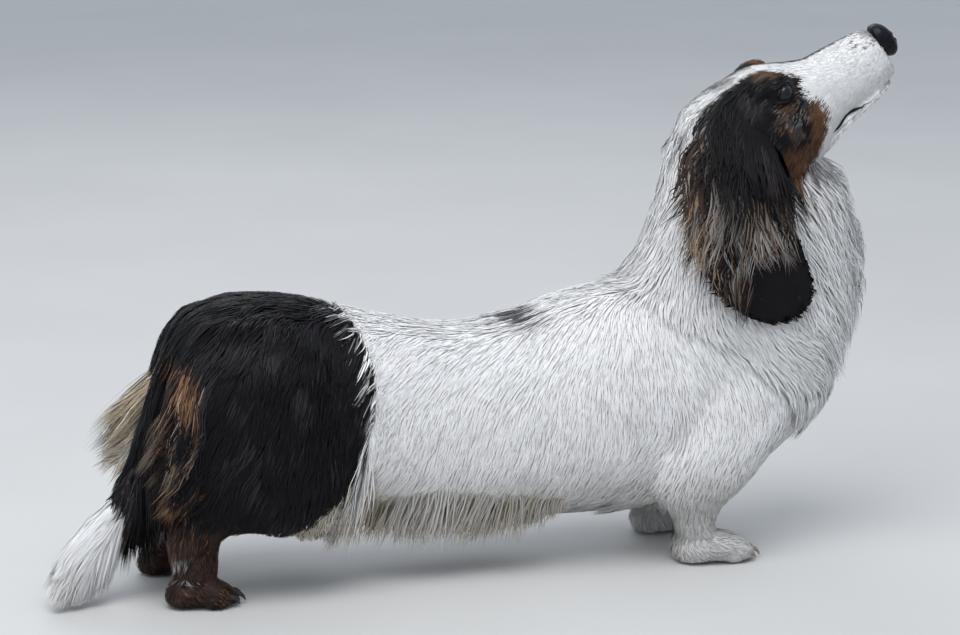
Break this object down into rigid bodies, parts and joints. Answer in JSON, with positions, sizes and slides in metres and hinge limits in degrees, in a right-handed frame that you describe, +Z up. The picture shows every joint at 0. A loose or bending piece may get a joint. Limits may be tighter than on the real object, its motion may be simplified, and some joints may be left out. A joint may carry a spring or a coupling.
{
  "type": "long-haired dachshund, life-size still model",
  "caption": "A long-haired dachshund standing square on short legs with its head raised, a still life-size figure with a piebald coat.",
  "frame": {"origin": "on the floor, under the middle of the bounding box", "axes": "+X towards the nose, +Y the dog's left, +Z up"},
  "size_m": [0.7118, 0.1648, 0.4347],
  "materials": {
    "white_coat": "soft white dog coat",
    "dark_coat": "black-brown dog coat",
    "nose_leather": "moist black nose",
    "eye_surface": "dark glossy eye"
  },
  "bodies": {
    "root": {"torso": "white_coat", "neck": "white_coat", "head": "white_coat", "lower_jaw": "white_coat", "nose": "nose_leather", "eye_left": "eye_surface", "eye_right": "eye_surface", "ear_left": "dark_coat", "ear_right": "dark_coat", "shoulder_left": "white_coat", "shoulder_right": "white_coat", "foreleg_left": "white_coat", "foreleg_right": "white_coat", "thigh_left": "dark_coat", "thigh_right": "dark_coat", "hind_leg_left": "dark_coat", "hind_leg_right": "dark_coat", "tail": "dark_coat"}
  },
  "joints": []
}
